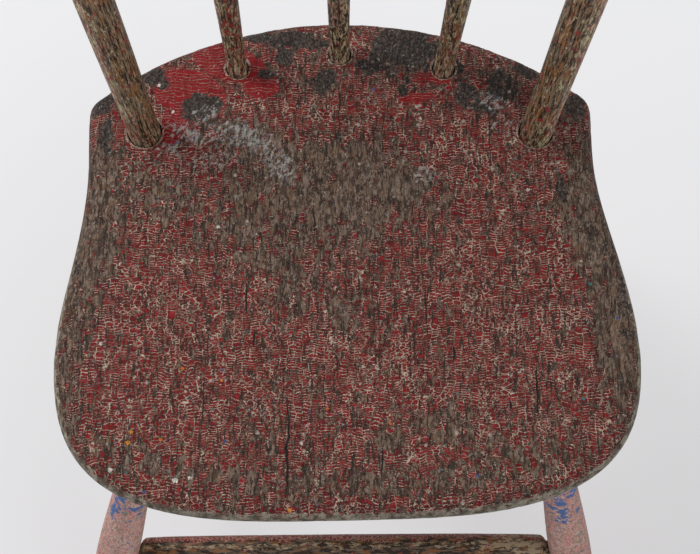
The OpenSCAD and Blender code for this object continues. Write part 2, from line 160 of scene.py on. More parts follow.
def even_out(values, edges, rounds):
    """Averages each point's value with its neighbours' values, some rounds."""
    values = np.asarray(values, float)
    flat = values.ndim == 1
    values = values.reshape(len(values), -1)
    count = np.bincount(edges.ravel(), minlength=len(values))[:, None]
    for _ in range(rounds):
        total = np.zeros_like(values)
        for column in range(values.shape[1]):
            total[:, column] += np.bincount(edges[:, 0], values[edges[:, 1], column], len(values))
            total[:, column] += np.bincount(edges[:, 1], values[edges[:, 0], column], len(values))
        values = 0.5 * values + 0.5 * total / np.maximum(count, 1)
    return values[:, 0] if flat else values


def remeshed(node, voxel):
    """A copy of a CAD node's mesh as small even squares."""
    mesh = NODES[node].data.copy()
    piece = bpy.data.objects.new(node + "_fine", mesh)
    bpy.context.scene.collection.objects.link(piece)
    welded = bmesh.new()
    welded.from_mesh(mesh)
    bmesh.ops.remove_doubles(welded, verts=welded.verts, dist=1e-6)
    welded.to_mesh(mesh)
    welded.free()
    remesh = piece.modifiers.new("small squares", "REMESH")
    remesh.mode = "VOXEL"
    remesh.voxel_size = voxel * MM
    depsgraph = bpy.context.evaluated_depsgraph_get()
    fine = bpy.data.meshes.new_from_object(piece.evaluated_get(depsgraph))
    bpy.data.objects.remove(piece)
    return fine


# ---- Turned pieces ----

# Millimetres: how far a skin stops short of the CAD piece's ends, the deepest dent, and the end rounding
END_GAP = 0.15
DENT_DEPTH = 0.5
ROUNDING_DEPTH = 0.9
ROUNDING_LENGTH = 2.5


def surface_of(node):
    """A CAD node's points in millimetres, and its surface for measuring."""
    mesh = NODES[node].data
    points = points_of(mesh)
    return points, BVHTree.FromPolygons(points.tolist(), faces_of(mesh))


def crossways(axis):
    """Two directions square to an axis and to each other."""
    side = np.cross(axis, [0.0, 1.0, 0.0])
    if np.linalg.norm(side) < 0.3:
        side = np.cross(axis, [0.0, 0.0, 1.0])
    side /= np.linalg.norm(side)
    return side, np.cross(axis, side)


def skin_radius(surface, centre, direction, reach=40.0):
    """Distance from a point on the axis out to the skin."""
    start = Vector(centre + direction * reach)
    hit = surface.ray_cast(start, Vector(-direction), reach)
    return reach - hit[3] if hit[0] is not None else np.nan


def longest_way(points):
    """The middle of some points, and the direction in which they reach furthest."""
    middle = points.mean(axis=0)
    axis = np.linalg.svd(points - middle, full_matrices=False)[2][0]
    return middle, axis * np.sign(axis[np.argmax(np.abs(axis))])


def turning_axis(points, surface):
    """The axis that a piece was turned on: its start, its direction and its length."""
    middle, axis = longest_way(points)
    turns = np.arange(8) * math.pi / 4
    for _ in range(2):
        places = (points - middle) @ axis
        side, up = crossways(axis)
        centres = []
        for share in np.linspace(0.12, 0.88, 16):
            centre = middle + (places.min() + share * np.ptp(places)) * axis
            directions = [math.cos(turn) * side + math.sin(turn) * up for turn in turns]
            radii = np.array([skin_radius(surface, centre, direction) for direction in directions])
            if np.isnan(radii).any() or np.ptp(radii) > 0.35 * radii.max():
                continue
            shift_side = 2 * (radii * np.cos(turns)).mean()
            shift_up = 2 * (radii * np.sin(turns)).mean()
            centres.append(centre + shift_side * side + shift_up * up)
        if len(centres) < 4:
            break
        middle, axis = longest_way(np.array(centres))
    places = (points - middle) @ axis
    return middle + places.min() * axis, axis, np.ptp(places)


def measured_radii(surface, start, axis, places, turns, flat_side):
    """The CAD radius at each ring and turn: the same all round, unless the piece has a flat side."""
    side, up = crossways(axis)
    directions = np.outer(np.cos(turns), side) + np.outer(np.sin(turns), up)
    radii = np.zeros((len(places), len(turns)))
    for ring, at in enumerate(places):
        centre = start + at * axis
        radii[ring] = [skin_radius(surface, centre, direction) for direction in directions]
    radii = np.nan_to_num(radii, nan=0.0)
    if flat_side:
        return radii
    outline = np.percentile(radii, 92, axis=1)
    sawn_level = (outline < 0.75 * np.median(outline)) & (radii.min(axis=1) < 0.2 * outline)
    outline[sawn_level] = radii[sawn_level].max(axis=1)
    return np.repeat(outline[:, None], len(turns), axis=1)


def tube_faces(count, around):
    """Faces between rings of points, and a fan at each end round the two points that come last."""
    faces = []
    for ring in range(count - 1):
        for k in range(around):
            a = ring * around + k
            b = ring * around + (k + 1) % around
            faces.append((a, b, b + around, a + around))
    last = (count - 1) * around
    end = count * around
    for k in range(around):
        following = (k + 1) % around
        faces.append((end, following, k))
        faces.append((end + 1, last + k, last + following))
    return faces


def turned_piece(node, material, step=2.2, around=60, out_of_round=0.25, furrow=0.16, seed=1,
        flat_side=False):
    """A turned piece with hand-made unevenness, made over a CAD node. It never stands proud of it."""
    points, surface = surface_of(node)
    start, axis, length = turning_axis(points, surface)
    side, up = crossways(axis)
    turns = np.arange(around) / around * 2 * math.pi
    count = int(length / step) + 1
    places = np.linspace(END_GAP, length - END_GAP, count)
    radii = measured_radii(surface, start, axis, places, turns, flat_side).ravel()

    along = np.repeat(places, around)
    turn = np.tile(turns, count)
    local = np.column_stack([np.cos(turn) * radii, np.sin(turn) * radii, along])
    uneven = out_of_round * (0.5 + 0.5 * wander(local, [30, 30, 70], seed, 2))
    furrows = furrow * np.clip(0.5 + wander(local, [3.2, 3.2, 60], seed + 5, 3), 0, 1)
    dents = DENT_DEPTH * ease(wander(local, [9, 9, 16], seed + 9, 2), 0.42, 0.8)
    loss = uneven + furrows + dents
    rounded = ROUNDING_DEPTH * (1 - ease(np.minimum(along, length - along), 0, ROUNDING_LENGTH))
    radius = np.maximum(radii - loss - rounded, 0.3)
    centres = start + along[:, None] * axis
    skin = centres + radius[:, None] * (np.cos(turn)[:, None] * side + np.sin(turn)[:, None] * up)
    ends = np.array([start + places[0] * axis, start + places[-1] * axis])
    skin = np.vstack([skin, ends])
    floor = points[:, 2].min()
    low = skin[:, 2] < floor
    slope = axis / axis[2] if abs(axis[2]) > 0.3 else np.zeros(3)
    skin[low] += (floor - skin[low, 2])[:, None] * slope

    piece = new_piece(node + "_turned", skin, tube_faces(count, around), node, material)
    local = np.vstack([local, [[0, 0, places[0]], [0, 0, places[-1]]]])
    keep_place(piece, local + 400 * seed)
    facing = skin - np.vstack([centres, ends])
    facing /= np.maximum(np.linalg.norm(facing, axis=1), 1e-6)[:, None]
    return piece, skin, facing


# ---- Shader tools ----

def tone(red, green, blue):
    """A paint or wood colour from its screen values, 0 to 255."""
    values = [channel / 255 for channel in (red, green, blue)]
    linear = [v / 12.92 if v <= 0.04045 else ((v + 0.055) / 1.055) ** 2.4 for v in values]
    return *linear, 1.0


class Signal:
    """A number, colour or place that a shader node puts out. Arithmetic with it makes Math nodes."""

    def __init__(self, tree, socket):
        self.tree = tree
        self.socket = socket

    def __add__(self, other):
        return calc("ADD", self, other)

    def __radd__(self, other):
        return calc("ADD", other, self)

    def __sub__(self, other):
        return calc("SUBTRACT", self, other)

    def __rsub__(self, other):
        return calc("SUBTRACT", other, self)

    def __mul__(self, other):
        return calc("MULTIPLY", self, other)

    def __truediv__(self, other):
        return calc("DIVIDE", self, other)


class Step:
    """A shader node. Reading a key gives an output, and setting a key feeds an input."""

    def __init__(self, tree, node):
        self.tree = tree
        self.node = node

    def __getitem__(self, key):
        return Signal(self.tree, self.node.outputs[key])

    def __setitem__(self, key, value):
        if isinstance(value, Signal):
            self.tree.links.new(value.socket, self.node.inputs[key])
        else:
            self.node.inputs[key].default_value = value


def place_in(tree, kind, inputs=None, **settings):
    """A shader node with its settings. Each input is a value or another node's output."""
    node = tree.nodes.new("ShaderNode" + kind)
    for name, value in settings.items():
        setattr(node, name, value)
    made = Step(tree, node)
    for key, value in (inputs or {}).items():
        made[key] = value
    return made


def calc(operation, *values):
    """One step of arithmetic."""
    tree = next(value.tree for value in values if isinstance(value, Signal))
    return place_in(tree, "Math", dict(enumerate(values)), operation=operation)[0]


def rise(value, low, high):
    """0 below low and 1 above high, smooth between."""
    inputs = {0: value, 1: low, 2: high}
    return place_in(value.tree, "MapRange", inputs, interpolation_type="SMOOTHSTEP")[0]


def laid_over(mask, below, above):
    """One colour laid over another where the mask is 1."""
    return place_in(mask.tree, "Mix", {0: mask, 6: below, 7: above}, data_type="RGBA")[2]


def between(mask, low, high):
    """A number from low to high, by a mask."""
    return place_in(mask.tree, "Mix", {0: mask, 2: low, 3: high}, data_type="FLOAT")[0]


def stretched(place, across, along):
    """The place in the wood counted in units of a size across the grain and one along it."""
    tree = place.tree
    across_wood = place_in(tree, "Math", {0: 1.0, 1: across}, operation="DIVIDE")[0]
    along_wood = place_in(tree, "Math", {0: 1.0, 1: along}, operation="DIVIDE")[0]
    scale = place_in(tree, "CombineXYZ", {0: across_wood, 1: across_wood, 2: along_wood})[0]
    return place_in(tree, "VectorMath", {0: place, 1: scale}, operation="MULTIPLY")[0]


def jittered(place, fineness, reach):
    """The place pushed about by noise, up to half of reach in millimetres."""
    tree = place.tree
    noise = place_in(tree, "TexNoise", {"Vector": place, "Scale": fineness, "Detail": 2.0})
    centred = place_in(tree, "VectorMath", {0: noise["Color"], 1: (0.5, 0.5, 0.5)}, operation="SUBTRACT")
    moved = place_in(tree, "VectorMath", {0: centred[0], "Scale": reach}, operation="SCALE")
    return place_in(tree, "VectorMath", {0: place, 1: moved[0]}, operation="ADD")[0]


def kept_number(place, name):
    """A number that the mesh keeps for each point, for the material that the place belongs to."""
    return place_in(place.tree, "Attribute", attribute_name=name)["Fac"]


def wood_place(tree):
    """Where a point lies in the wood."""
    return place_in(tree, "Attribute", attribute_name="wood_place")["Vector"]


def new_group(name, takes, gives):
    """An empty shader group. takes lists (name, value); a value of None is a vector."""
    tree = bpy.data.node_groups.new(name, "ShaderNodeTree")
    for label, value in takes:
        kind = "NodeSocketVector" if value is None else "NodeSocketFloat"
        socket = tree.interface.new_socket(label, in_out="INPUT", socket_type=kind)
        if value is not None:
            socket.default_value = value
    for label in gives:
        tree.interface.new_socket(label, in_out="OUTPUT", socket_type="NodeSocketFloat")
    taken = Step(tree, tree.nodes.new("NodeGroupInput"))
    given = Step(tree, tree.nodes.new("NodeGroupOutput"))
    return tree, taken, given


def use(group, **inputs):
    """A shader group placed in the material that its place belongs to."""
    tree = inputs["Place"].tree
    node = tree.nodes.new("ShaderNodeGroup")
    node.node_tree = group
    made = Step(tree, node)
    for name, value in inputs.items():
        made[name] = value
    return made


# ---- Shared effects ----

def crackle_group():
    """Old paint crazed into islands, with the cracks' mask, a number for each island and a height."""
    takes = [("Place", None), ("Across", 4.0), ("Along", 2.0), ("Wander", 1.5), ("Width", 0.14)]
    tree, taken, given = new_group("crackle", takes, ["Crack", "Island", "Height"])
    place = jittered(taken["Place"], 0.35, taken["Wander"])
    cells = stretched(place, taken["Across"], taken["Along"])
    edge = place_in(tree, "TexVoronoi", {"Vector": cells, "Scale": 1.0}, feature="DISTANCE_TO_EDGE")
    cell = place_in(tree, "TexVoronoi", {"Vector": cells, "Scale": 1.0}, feature="F1")
    split = place_in(tree, "SeparateColor", {0: cell["Color"]})
    island = rise(edge["Distance"], taken["Width"] * 0.35, taken["Width"])
    given["Crack"] = 1.0 - island
    given["Island"] = split[0]
    given["Height"] = rise(edge["Distance"], 0.0, 0.3)
    return tree


def ladder_group():
    """Paint crazed into columns along the grain, each split by short cracks across it."""
    takes = [("Place", None), ("Column", 6.0), ("Row", 1.9), ("Width", 0.3), ("Kept", 0.8)]
    tree, taken, given = new_group("ladder_cracks", takes, ["Crack", "Side", "Island"])
    place = jittered(jittered(taken["Place"], 0.07, 9.0), 0.7, 1.3)
    split = place_in(tree, "SeparateXYZ", {0: place})
    columns = split[0] / taken["Column"]
    column_key = place_in(tree, "CombineXYZ", {0: calc("FLOOR", columns), 1: 3.0})
    number = place_in(tree, "TexWhiteNoise", {"Vector": column_key[0]})["Value"]
    from_side = (0.5 - calc("ABSOLUTE", calc("FRACT", columns) - 0.5)) * taken["Column"]
    rows = split[2] / taken["Row"] + number * 37.0
    away = (0.5 - calc("ABSOLUTE", calc("FRACT", rows) - 0.5)) * taken["Row"]
    line_key = place_in(tree, "CombineXYZ", {0: calc("FLOOR", rows + 0.5), 1: number})
    chance = place_in(tree, "TexWhiteNoise", {"Vector": line_key[0]})["Value"]
    open_share = place_in(tree, "TexNoise", {"Vector": taken["Place"], "Scale": 0.45, "Detail": 2.0})
    width = taken["Width"] * between(rise(open_share[0], 0.3, 0.6), 0.45, 1.1)
    crack = 1.0 - rise(away / width, 0.5, 1.1)
    island_key = place_in(tree, "CombineXYZ", {0: calc("FLOOR", rows), 1: number, 2: 7.0})
    given["Crack"] = crack * calc("LESS_THAN", chance, taken["Kept"])
    given["Side"] = 1.0 - rise(from_side / width, 0.5, 1.2)
    given["Island"] = place_in(tree, "TexWhiteNoise", {"Vector": island_key[0]})["Value"]
    return tree


def ragged_group():
    """Turns a soft field into a ragged patch, longer along the grain, and gives its rim."""
    takes = [("Place", None), ("Field", 0.5), ("Size", 8.0), ("Stretch", 2.0), ("Rough", 0.6),
        ("Spread", 1.2), ("Soft", 0.03)]
    tree, taken, given = new_group("ragged_patch", takes, ["Mask", "Rim"])
    cells = stretched(taken["Place"], taken["Size"], taken["Size"] * taken["Stretch"])
    noise = place_in(tree, "TexNoise", {"Vector": cells, "Scale": 1.0, "Detail": 5.0,
        "Roughness": taken["Rough"]})
    level = taken["Field"] + (noise[0] - 0.5) * taken["Spread"]
    given["Mask"] = rise(level, 0.5 - taken["Soft"], 0.5 + taken["Soft"])
    given["Rim"] = 1.0 - rise(calc("ABSOLUTE", level - 0.5), 0.0, taken["Soft"] * 2.0)
    return tree


def grain_group():
    """Wood grain: fine streaks, broad bands, and thin dark checks that follow it."""
    takes = [("Place", None), ("Fine", 1.2), ("Length", 30.0), ("Band", 9.0)]
    tree, taken, given = new_group("wood_grain", takes, ["Streak", "Band", "Check", "Height"])
    fine = stretched(taken["Place"], taken["Fine"], taken["Length"])
    streak = place_in(tree, "TexNoise", {"Vector": fine, "Scale": 1.0, "Detail": 6.0, "Roughness": 0.62,
        "Distortion": 0.15})
    broad = stretched(taken["Place"], taken["Band"], taken["Length"] * 3.0)
    band = place_in(tree, "TexNoise", {"Vector": broad, "Scale": 1.0, "Detail": 3.0})
    thin = stretched(taken["Place"], taken["Fine"] * 2.2, taken["Length"] * 0.8)
    split = place_in(tree, "TexNoise", {"Vector": thin, "Scale": 1.0, "Detail": 2.0})
    line = 1.0 - rise(calc("ABSOLUTE", split[0] - 0.52), 0.004, 0.02)
    check = line * rise(band[0], 0.5, 0.62)
    given["Streak"] = rise(streak[0], 0.3, 0.7)
    given["Band"] = rise(band[0], 0.32, 0.68)
    given["Check"] = check
    given["Height"] = streak[0] - check
    return tree


def fleck_group():
    """Small scattered spots of another colour."""
    takes = [("Place", None), ("Spacing", 12.0), ("Size", 1.2), ("Share", 0.3)]
    tree, taken, given = new_group("flecks", takes, ["Mask", "Kind"])
    place = jittered(taken["Place"], 0.9, 2.6)
    cells = stretched(place, taken["Spacing"], taken["Spacing"])
    spot = place_in(tree, "TexVoronoi", {"Vector": cells, "Scale": 1.0}, feature="F1")
    split = place_in(tree, "SeparateColor", {0: spot["Color"]})
    reach = taken["Size"] / taken["Spacing"] * (0.4 + split[1])
    near = calc("LESS_THAN", spot["Distance"], reach)
    chosen = calc("LESS_THAN", split[0], taken["Share"])
    given["Mask"] = near * chosen
    given["Kind"] = split[2]
    return tree


def long_check_group():
    """One long check in the wood, at a place across the grain, from one height along it to another."""
    takes = [("Place", None), ("Bend", 0.0), ("At", 0.0), ("From", -10.0), ("To", 10.0), ("Width", 0.6)]
    tree, taken, given = new_group("long_check", takes, ["Mask"])
    split = place_in(tree, "SeparateXYZ", {0: taken["Place"]})
    across = split[0] + taken["Bend"] - taken["At"]
    middle = (taken["From"] + taken["To"]) * 0.5
    half = (taken["To"] - taken["From"]) * 0.5
    along = (split[2] - middle) / half
    taper = 1.0 - calc("POWER", calc("ABSOLUTE", along), 2.0)
    reach = taken["Width"] * calc("MAXIMUM", taper, 0.0)
    given["Mask"] = calc("LESS_THAN", calc("ABSOLUTE", across), reach)
    return tree


def round_mark_group():
    """A round mark on the seat where a piece stands in it: its ring and what lies inside."""
    takes = [("Place", None), ("Across", 0.0), ("Along", 0.0), ("Radius", 10.0), ("Width", 1.0)]
    tree, taken, given = new_group("round_mark", takes, ["Ring", "Inside"])
    place = place_in(tree, "SeparateXYZ", {0: taken["Place"]})
    across = place[0] - taken["Across"]
    along = place[2] - taken["Along"]
    beyond = calc("SQRT", across * across + along * along) - taken["Radius"]
    inside = calc("LESS_THAN", beyond, 0.0)
    near = calc("LESS_THAN", beyond, taken["Width"])
    given["Ring"] = near - inside
    given["Inside"] = inside
    return tree


CRACKLE = crackle_group()
LADDER = ladder_group()
RAGGED = ragged_group()
GRAIN = grain_group()
FLECKS = fleck_group()
LONG_CHECK = long_check_group()
ROUND_MARK = round_mark_group()


def new_material(name, shine=0.2):
    """A material with its Principled shader, and the place in the wood."""
    material = bpy.data.materials.new(name)
    material.use_nodes = True
    tree = material.node_tree
    shader = Step(tree, tree.nodes["Principled BSDF"])
    shader["Specular IOR Level"] = shine
    return material, shader, wood_place(tree)


def finish_surface(shader, colour, roughness, height, depth):
    """Feeds colour, roughness and a bump of a depth in millimetres to the shader."""
    shader["Base Color"] = colour
    shader["Roughness"] = roughness
    bump = place_in(shader.tree, "Bump", {"Height": height, "Strength": 1.0, "Distance": depth * MM})
    shader["Normal"] = bump[0]


def ragged(place, field, size, stretch, spread, soft, rough=0.6):
    """Ragged patches where the field is above a half: their mask and rim."""
    return use(RAGGED, Place=place, Field=field, Size=size, Stretch=stretch, Rough=rough,
        Spread=spread, Soft=soft)


def dappled(place, below, above, share, field, **shape):
    """Ragged patches of one colour over another, as strong as share."""
    return laid_over(ragged(place, field, **shape)["Mask"] * share, below, above)


def aged_wood(place, dark, middle, pale, fine=1.1, length=26.0):
    """Bare old wood in three tones, with dark checks. Gives its colour and height."""
    grain = use(GRAIN, Place=place, Fine=fine, Length=length, Band=8.0)
    body = laid_over(grain["Band"], dark, middle)
    streaked = laid_over(grain["Streak"] * 0.75, body, pale)
    pores = rise(grain["Streak"], 0.0, 0.25)
    pore_tone = (*(0.45 * channel for channel in dark[:3]), 1.0)
    darker = laid_over(pores, pore_tone, streaked)
    checked = laid_over(grain["Check"] * 0.8, darker, tone(38, 30, 26))
    return checked, grain["Height"]


# ---- Seat ----

# Soft oval spots on the seat's top: across, along, half width, half length, turn, strength
SOLID_RED = [(-118, 124, 34, 24, -24, 1.0), (-88, 152, 36, 18, -22, 1.0), (-62, 130, 18, 12, 0, 0.75),
    (-130, 98, 12, 22, -10, 0.9), (76, 140, 20, 10, 12, 0.8), (60, 121, 24, 7, 8, 0.6),
    (-168, 108, 14, 16, 0, 0.25)]
MORE_RED = [(-120, -100, 75, 85, 0, 1.0), (130, -70, 55, 90, 0, 0.8), (10, -110, 90, 70, 0, 0.55),
    (-20, 110, 90, 22, 0, 0.7), (110, 90, 60, 30, -10, 0.75), (-160, 96, 28, 22, 0, 1.0),
    (-125, 70, 40, 16, 20, 0.8), (110, 55, 60, 22, 0, 0.45)]
WORN_THROUGH = [(0, 40, 88, 44, 0, 0.8), (-190, 10, 26, 74, -6, 1.0), (-196, -62, 20, 60, -8, 0.9),
    (204, -50, 20, 110, 4, 1.0), (185, 30, 18, 56, 0, 0.9), (5, -58, 15, 20, 0, 0.7),
    (36, -155, 11, 15, 0, 0.8), (76, -146, 24, 16, 0, 0.75), (-70, 20, 26, 40, 0, 0.6),
    (-40, -20, 14, 44, 0, 0.5), (70, 10, 22, 36, 0, 0.45), (-140, 40, 40, 22, -25, 0.55),
    (-60, 76, 56, 22, -32, 0.75), (-60, -150, 20, 22, 0, 0.4), (10, -190, 120, 14, 0, 0.55),
    (120, -176, 70, 16, 12, 0.5), (-130, -176, 60, 14, -16, 0.45), (-205, -120, 14, 50, 4, 0.6)]
DARK_CHIPS = [(-150, 142, 22, 9, -38, 1.0), (-44, 174, 42, 9, -8, 1.0), (50, 163, 34, 24, 4, 1.0),
    (24, 150, 14, 9, 0, 0.9), (-188, 118, 10, 17, 0, 1.0), (-184, 88, 8, 22, 6, 0.85),
    (185, 114, 9, 15, 0, 0.95), (-108, 112, 18, 13, 20, 1.0), (-44, 157, 8, 10, 0, 1.0),
    (-58, 143, 8, 6, 0, 0.95), (-13, 136, 11, 12, 0, 0.95), (128, 130, 15, 17, -20, 1.0),
    (146, 146, 12, 8, -30, 0.8), (90, 148, 8, 10, 0, 0.8), (100, 121, 12, 13, 0, 0.9),
    (169, 39, 5, 12, 0, 0.9), (112, 112, 20, 7, -15, 0.75), (56, 132, 16, 12, 0, 0.6),
    (-196, -20, 6, 40, 0, 0.45), (212, -60, 6, 60, 0, 0.5)]
CHALK = [(-112, 88, 30, 10, -18, 0.8), (-72, 86, 26, 13, -24, 1.0), (-48, 64, 22, 12, -38, 0.85),
    (-96, 66, 24, 9, 14, 0.6), (64, 54, 9, 12, 0, 0.6), (-132, 76, 14, 10, 0, 0.6),
    (118, 118, 16, 9, -10, 0.7), (-104, 106, 14, 9, 0, 0.7), (128, 96, 12, 8, 0, 0.6)]

# Long checks: across, from, to, width
LONG_CHECKS = [(-38, -204, -122, 0.9), (-64, -86, -70, 0.8), (-70, -60, -33, 0.7), (144, -140, -98, 0.8),
    (84, -96, -84, 0.8), (124, -136, -128, 0.8), (116, 32, 128, 0.35), (-1, 92, 132, 0.5),
    (-100, -150, -108, 0.5), (30, -190, -160, 0.6), (64, -70, -30, 0.5), (-20, 0, 40, 0.4)]


def flaked_wood(place):
    """The seat's worn-through wood: streaks broken by dark and pale flakes."""
    wood, height = aged_wood(place, tone(60, 48, 40), tone(92, 74, 62), tone(132, 112, 97), fine=1.0,
        length=9.0)
    dark = ragged(place, 0.36, size=4.0, stretch=2.0, spread=3.3, soft=0.08, rough=0.7)
    pale = ragged(place, 0.36, size=2.8, stretch=1.5, spread=3.3, soft=0.08, rough=0.72)
    wood = dappled(place, wood, tone(100, 74, 54), 0.6, 0.5, size=9.0, stretch=1.6, spread=2.6, soft=0.25)
    colour = laid_over(pale["Mask"] * 0.6, wood, tone(132, 114, 101))
    colour = laid_over(dark["Mask"] * 0.7, colour, tone(48, 37, 31))
    return colour, height - dark["Mask"] * 0.4


def crazed_paint(place, strip):
    """Red paint in small islands with pale cracks; strip is where it stays in long bands."""
    small = use(CRACKLE, Place=place, Across=3.8, Along=2.0, Wander=1.1, Width=0.1)
    large = use(CRACKLE, Place=place, Across=6.2, Along=3.1, Wander=1.6, Width=0.07)
    rungs = use(LADDER, Place=place, Column=5.6, Row=2.1, Width=0.32, Kept=0.92)
    bands = use(LADDER, Place=place, Column=26.0, Row=2.7, Width=0.26, Kept=0.75)
    where = ragged(place, 0.54, size=16.0, stretch=1.5, spread=3.0, soft=0.06)
    broad = ragged(place, kept_number(place, "broad_cracks"), size=14.0, stretch=1.2, spread=3.0,
        soft=0.06)["Mask"]
    cells = {key: between(broad, small[key], large[key]) for key in ("Crack", "Island")}
    fine = between(where["Mask"], cells["Crack"], rungs["Crack"])
    crack = between(strip, fine, bands["Crack"] * 0.62)
    number = between(strip, between(where["Mask"], cells["Island"], rungs["Island"]), bands["Island"])
    red = laid_over(number, tone(94, 14, 17), tone(132, 22, 25))
    red = laid_over(strip * 0.6, red, tone(132, 12, 20))
    dull = ragged(place, 0.38, size=2.6, stretch=1.8, spread=2.8, soft=0.1)
    red = laid_over(dull["Mask"] * between(strip, 0.6, 0.05), red, tone(82, 54, 44))
    faded = ragged(place, 0.56, size=7.0, stretch=1.4, spread=2.6, soft=0.25)
    pale = laid_over(faded["Mask"], tone(120, 104, 88), tone(180, 166, 146))
    colour = laid_over(crack, red, pale)
    side = rungs["Side"] * where["Mask"] * between(strip, 0.85, 0.0)
    dark_side = ragged(place, 0.46, size=3.0, stretch=4.0, spread=3.0, soft=0.1)
    side_tone = laid_over(dark_side["Mask"], pale, tone(50, 40, 35))
    colour = laid_over(side, colour, side_tone)
    return colour, 1.0 - calc("MAXIMUM", crack, side), faded["Mask"]


# Splashes of other paint: across, along, radius, colour
SPLASHES = [(-153, -160, 1.7, (204, 130, 34)), (-151, -152, 1.3, (204, 130, 34)),
    (-87, -112, 1.0, (190, 110, 40)), (-116, -103, 1.0, (190, 110, 40)), (-36, -209, 1.4, (200, 130, 44)),
    (-165, -180, 1.7, (206, 196, 186)), (-118, -188, 2.0, (212, 204, 194)),
    (-28, -160, 1.3, (196, 184, 172)), (-11, -56, 1.1, (190, 178, 166)), (144, 41, 1.3, (196, 186, 176)),
    (187, -37, 1.3, (70, 116, 108)), (177, -127, 1.3, (66, 108, 116)), (-86, -104, 0.9, (60, 82, 128)),
    (-108, -186, 1.1, (210, 202, 192)), (-140, -196, 1.2, (60, 82, 128))]


def seat_specks(place, surface):
    """Scattered splashes of other paints."""
    uneven = jittered(place, 0.9, 3.0)
    for across, along, radius, colour in SPLASHES:
        spot = use(ROUND_MARK, Place=uneven, Across=across, Along=along, Radius=radius)["Inside"]
        surface = laid_over(spot, surface, tone(*colour))
    specks = use(FLECKS, Place=place, Spacing=12.0, Size=1.3, Share=0.3)
    kinds = place_in(place.tree, "ValToRGB", {0: specks["Kind"]})
    ramp = kinds.node.color_ramp
    ramp.interpolation = "CONSTANT"
    ramp.elements[0].color = tone(170, 152, 140)
    ramp.elements[1].position = 0.6
    ramp.elements[1].color = tone(62, 76, 112)
    for position, colour in ((0.74, tone(86, 104, 100)), (0.85, tone(186, 108, 38)),
            (0.92, tone(206, 198, 188))):
        ramp.elements.new(position).color = colour
    return laid_over(specks["Mask"] * 0.85, surface, kinds[0])


def foot_rings_and_gap_shade(place, surface, feet):
    """A pale broken line of old paint round each piece that stands in the seat, and painted shade: a
    near-black gap at its foot.
    """
    broken = ragged(place, 0.6, size=2.2, stretch=1.0, spread=3.2, soft=0.1)
    for across, along, radius in feet:
        mark = use(ROUND_MARK, Place=jittered(place, 0.5, 0.9), Across=across, Along=along,
            Radius=radius + 0.5, Width=2.2)
        ring = mark["Ring"] * broken["Mask"]
        surface = laid_over(ring * 0.85, surface, tone(184, 164, 146))
        # painted shade: the gap round the piece's foot is coloured near-black
        surface = laid_over(mark["Inside"], surface, tone(30, 24, 21))
    return surface


